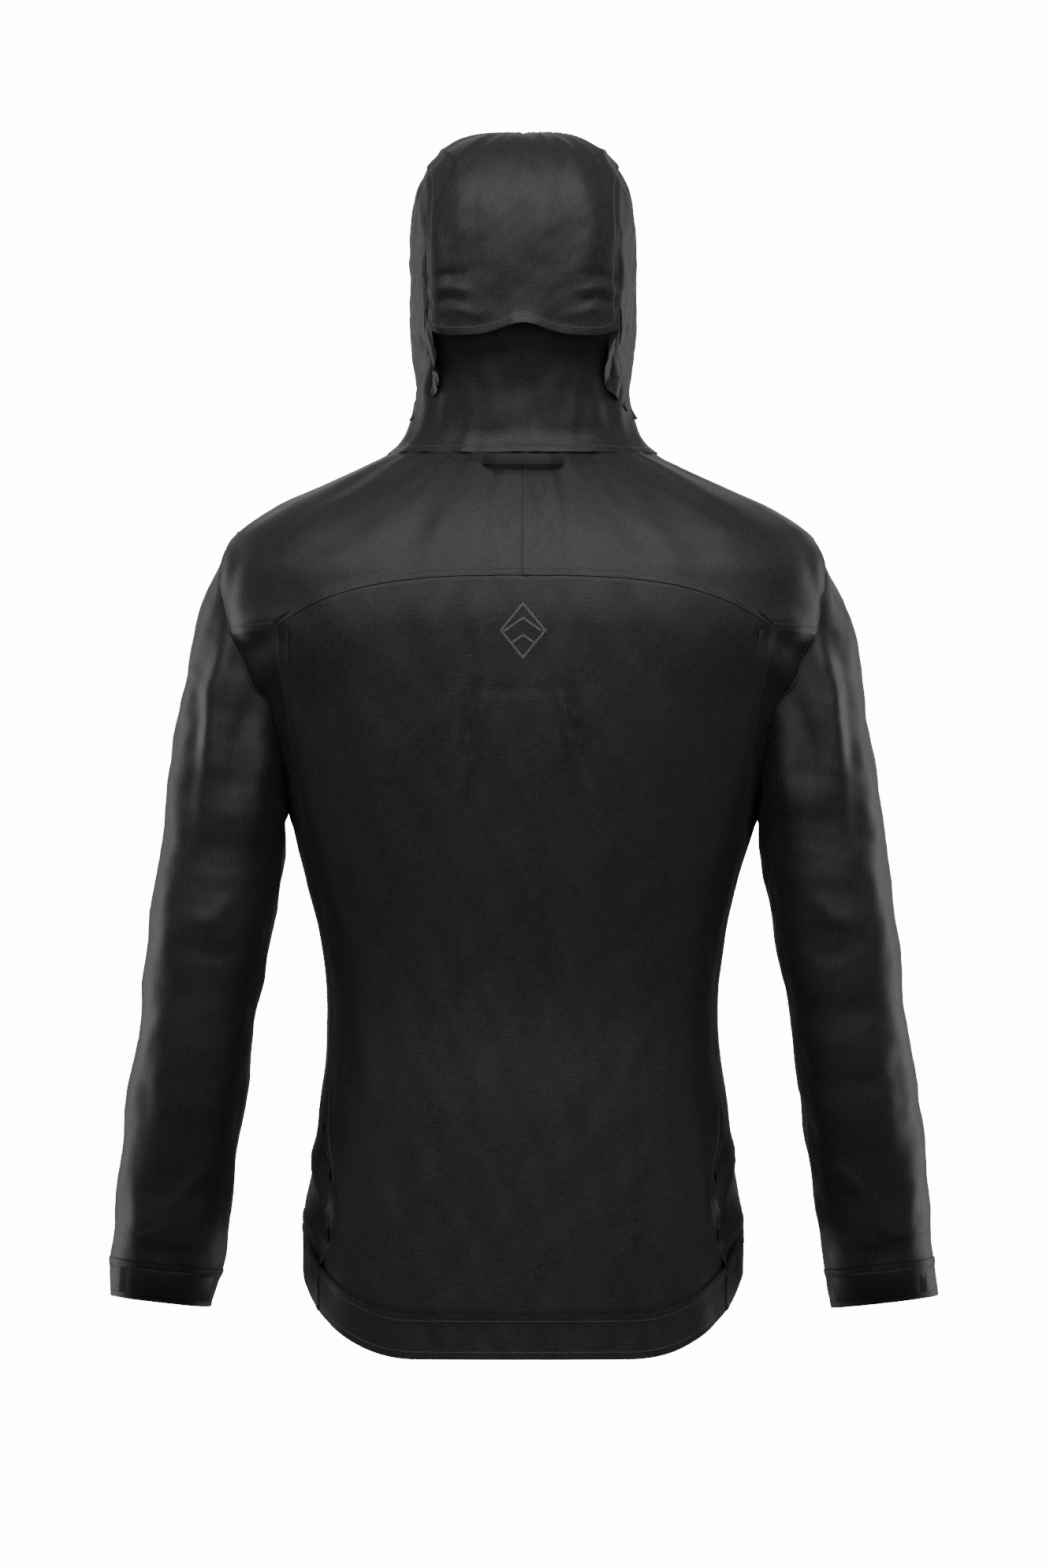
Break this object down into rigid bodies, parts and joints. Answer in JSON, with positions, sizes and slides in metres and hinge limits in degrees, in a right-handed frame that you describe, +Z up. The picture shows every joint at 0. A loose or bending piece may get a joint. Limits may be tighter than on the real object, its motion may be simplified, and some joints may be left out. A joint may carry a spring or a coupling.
{
  "type": "hooded waterproof shell jacket",
  "caption": "Hooded waterproof shell jacket in its worn shape, with a yoked back, drop-tail hem, long set-in sleeves with cuff tabs, a full front zip and a hood with a rear flap.",
  "frame": {"origin": "on the middle plane at the height of the neck seam, where the shoulders carry the jacket", "axes": "+X towards the wearer's left, +Y towards the wearer's back, +Z up"},
  "size_m": [0.7036, 0.2803, 1.036],
  "materials": {
    "shell_cloth": "matt black woven face of a three-layer waterproof laminate",
    "lining_film": "dark grey knitted backer",
    "webbing": "black polyamide webbing",
    "zip_tape": "black coated zip and seam tape",
    "zip_chain": "black polyamide coil",
    "zip_metal": "black painted zinc",
    "moulded": "black moulded thermoplastic",
    "tab_laminate": "black moulded tab with a hook-tape underside",
    "cord_sleeve": "black braided elastic cord",
    "thread": "dark grey embroidery thread"
  },
  "bodies": {
    "shell": {"back_panel": "shell_cloth", "hood_crown": "shell_cloth", "hood_neck_panel": "shell_cloth", "hood_brim": "shell_cloth", "hem_band_back": "shell_cloth", "front_zip_flap": "shell_cloth", "yoke_left": "shell_cloth", "side_panel_left": "shell_cloth", "hood_side_left": "shell_cloth", "collar_left": "shell_cloth", "hem_band_front_left": "shell_cloth", "front_panel_left": "shell_cloth", "pocket_bag_left": "lining_film", "pocket_zip_left": "zip_tape", "front_zip_tape_left": "zip_tape", "front_zip_stop_left": "zip_metal", "front_zip_chain_left": "zip_chain", "hem_left_lock": "moulded", "yoke_right": "shell_cloth", "side_panel_right": "shell_cloth", "hood_side_right": "shell_cloth", "collar_right": "shell_cloth", "hem_band_front_right": "shell_cloth", "front_panel_right": "shell_cloth", "pocket_bag_right": "lining_film", "pocket_zip_right": "zip_tape", "front_zip_tape_right": "zip_tape", "front_zip_stop_right": "zip_metal", "front_zip_chain_right": "zip_chain", "hem_right_lock": "moulded", "hem_facing": "lining_film", "emblem_backing": "lining_film", "front_zip_box": "moulded", "hem_drawcord": "cord_sleeve", "hood_drawcord": "cord_sleeve", "hood_rear_lock": "moulded", "hanger_loop": "webbing", "back_emblem": "thread", "yoke_seam_tape": "zip_tape"},
    "sleeve_left": {"sleeve_main_left": "shell_cloth", "sleeve_gusset_left": "shell_cloth", "cuff_left": "shell_cloth", "cuff_loop_patch_left": "lining_film"},
    "cuff_tab_left": {"cuff_tab_left": "tab_laminate"},
    "pocket_slider_left": {"pocket_slider_left": "zip_metal"},
    "pocket_puller_left": {"pocket_puller_left": "moulded"},
    "hem_button_left": {"hem_left_button": "moulded"},
    "sleeve_right": {"sleeve_main_right": "shell_cloth", "sleeve_gusset_right": "shell_cloth", "cuff_right": "shell_cloth", "cuff_loop_patch_right": "lining_film"},
    "cuff_tab_right": {"cuff_tab_right": "tab_laminate"},
    "pocket_slider_right": {"pocket_slider_right": "zip_metal"},
    "pocket_puller_right": {"pocket_puller_right": "moulded"},
    "hem_button_right": {"hem_right_button": "moulded"},
    "front_slider": {"front_slider": "zip_metal"},
    "front_puller": {"front_puller": "moulded"},
    "hood_button": {"hood_rear_button": "moulded"}
  },
  "joints": [
    {"name": "sleeve_left_lift", "type": "hinge", "parent": "shell", "child": "sleeve_left", "pos_m": [0.246, 0, -0.072], "axis": [0, -1, 0], "range_deg": [0, 30]},
    {"name": "cuff_tab_left_peel", "type": "hinge", "parent": "sleeve_left", "child": "cuff_tab_left", "pos_m": [0.26483, -0.00062, -0.71003], "axis": [-0.2162, 0.2285, 0.9492], "range_deg": [0, 60]},
    {"name": "pocket_zip_left_run", "type": "slide", "parent": "shell", "child": "pocket_slider_left", "axis": [0.2067, 0.1097, -0.9722], "range_m": [0, 0.141]},
    {"name": "pocket_puller_left_swing", "type": "hinge", "parent": "pocket_slider_left", "child": "pocket_puller_left", "pos_m": [0.10145, -0.12751, -0.38342], "axis": [-0.8346, -0.4989, -0.2337], "range_deg": [0, 150]},
    {"name": "hem_button_left_press", "type": "slide", "parent": "shell", "child": "hem_button_left", "axis": [0.0015, 0.0008, 1], "range_m": [0, 0.0024], "stiffness_N_per_m": 1500, "springref_m": -0.002},
    {"name": "sleeve_right_lift", "type": "hinge", "parent": "shell", "child": "sleeve_right", "pos_m": [-0.246, 0, -0.072], "axis": [0, 1, 0], "range_deg": [0, 30]},
    {"name": "cuff_tab_right_peel", "type": "hinge", "parent": "sleeve_right", "child": "cuff_tab_right", "pos_m": [-0.26483, -0.00062, -0.71003], "axis": [-0.2162, -0.2285, -0.9492], "range_deg": [0, 60]},
    {"name": "pocket_zip_right_run", "type": "slide", "parent": "shell", "child": "pocket_slider_right", "axis": [-0.2067, 0.1097, -0.9722], "range_m": [0, 0.141]},
    {"name": "pocket_puller_right_swing", "type": "hinge", "parent": "pocket_slider_right", "child": "pocket_puller_right", "pos_m": [-0.10145, -0.12751, -0.38342], "axis": [-0.8346, 0.4989, 0.2337], "range_deg": [0, 150]},
    {"name": "hem_button_right_press", "type": "slide", "parent": "shell", "child": "hem_button_right", "axis": [-0.0015, 0.0008, 1], "range_m": [0, 0.0024], "stiffness_N_per_m": 1500, "springref_m": -0.002},
    {"name": "front_zip_run", "type": "slide", "parent": "shell", "child": "front_slider", "axis": [0, -0.032, -0.9995], "range_m": [0, 0.717]},
    {"name": "front_puller_swing", "type": "hinge", "parent": "front_slider", "child": "front_puller", "pos_m": [0, -0.1189, 0.06734], "axis": [-1, 0, 0], "range_deg": [0, 165]},
    {"name": "hood_button_press", "type": "slide", "parent": "shell", "child": "hood_button", "axis": [0, 0, 1], "range_m": [0, 0.0024], "stiffness_N_per_m": 1500, "springref_m": -0.002}
  ]
}
